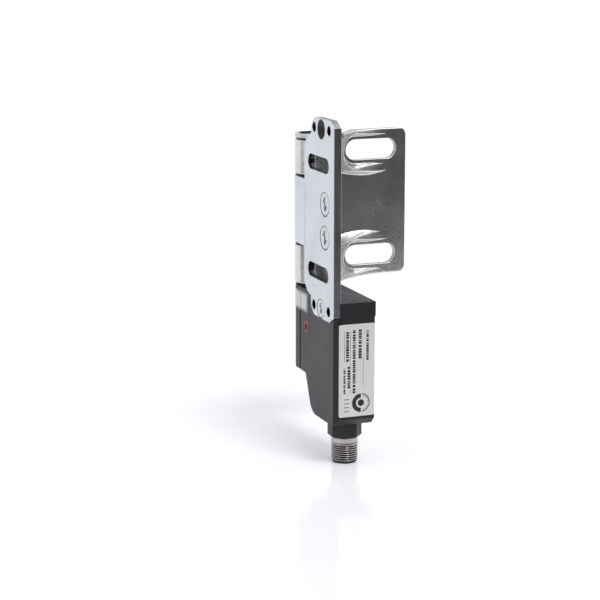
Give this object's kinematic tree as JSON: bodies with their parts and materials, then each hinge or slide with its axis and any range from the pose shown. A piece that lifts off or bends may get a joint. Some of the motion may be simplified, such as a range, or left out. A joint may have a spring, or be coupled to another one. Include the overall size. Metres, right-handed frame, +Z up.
{
  "type": "hinge safety switch",
  "caption": "Hinge whose shaft works a sealed safety switch below it, with slotted leaves, a moulded housing and a round plug connector.",
  "frame": {"origin": "middle of the fixed leaf's slot pattern, on its mounting face", "axes": "+X from the mounting face inwards, +Y along the fixed leaf towards the hinge axis, +Z up along the hinge axis; modelled with the door 90 degrees open"},
  "size_m": [0.0566, 0.0567, 0.1532],
  "materials": {
    "leaf_steel": "satin",
    "door_steel": "satin",
    "shaft_steel": "satin",
    "cap_steel": "satin",
    "screw_steel": "satin",
    "spring_steel": "satin",
    "bush_plastic": "matte",
    "cam_plastic": "matte",
    "seal_rubber": "matte",
    "housing_plastic": "matte",
    "plate_silver": "satin",
    "red_screw": "satin",
    "block_plastic": "matte",
    "contact_brass": "satin",
    "connector_nickel": "satin",
    "insert_plastic": "matte",
    "lead_plastic": "satin"
  },
  "bodies": {
    "switch": {"frame_leaf": "leaf_steel", "plate_screws": "screw_steel", "housing_screw": "screw_steel", "upper_bush": "bush_plastic", "lower_bush": "bush_plastic", "shaft_seal": "seal_rubber", "housing_body": "housing_plastic", "housing_cover": "housing_plastic", "cover_gasket": "seal_rubber", "cover_screws": "screw_steel", "name_plate": "plate_silver", "side_label": "plate_silver", "setting_screw": "red_screw", "contact_block": "block_plastic", "block_screws": "screw_steel", "fixed_contacts": "contact_brass", "return_spring": "spring_steel", "connector_shell": "connector_nickel", "connector_insert": "insert_plastic", "connector_pins": "contact_brass", "connector_oring": "seal_rubber", "connector_nut": "connector_nickel", "inner_leads": "lead_plastic"},
    "door": {"door_leaf": "door_steel", "upper_sleeve": "shaft_steel", "lower_sleeve": "shaft_steel", "drive_pins": "shaft_steel", "hinge_shaft": "shaft_steel", "end_cap": "cap_steel", "cam_disc": "cam_plastic", "cam_pin": "shaft_steel", "retaining_ring": "spring_steel"},
    "plunger": {"plunger": "cam_plastic", "contact_bridge": "contact_brass"}
  },
  "joints": [
    {"name": "door_hinge", "type": "hinge", "parent": "switch", "child": "door", "pos_m": [0.01, 0.0271, 0], "axis": [0, 0, 1], "range_deg": [-90, 90]},
    {"name": "plunger_slide", "type": "slide", "parent": "switch", "child": "plunger", "axis": [0, 1, 0], "range_m": [-0.00095, 0.00095], "deforming": ["return_spring"]}
  ],
  "couplings": [
    {"joint": "plunger_slide", "follows": "door_hinge", "m_per_rad": 0.0006}
  ]
}
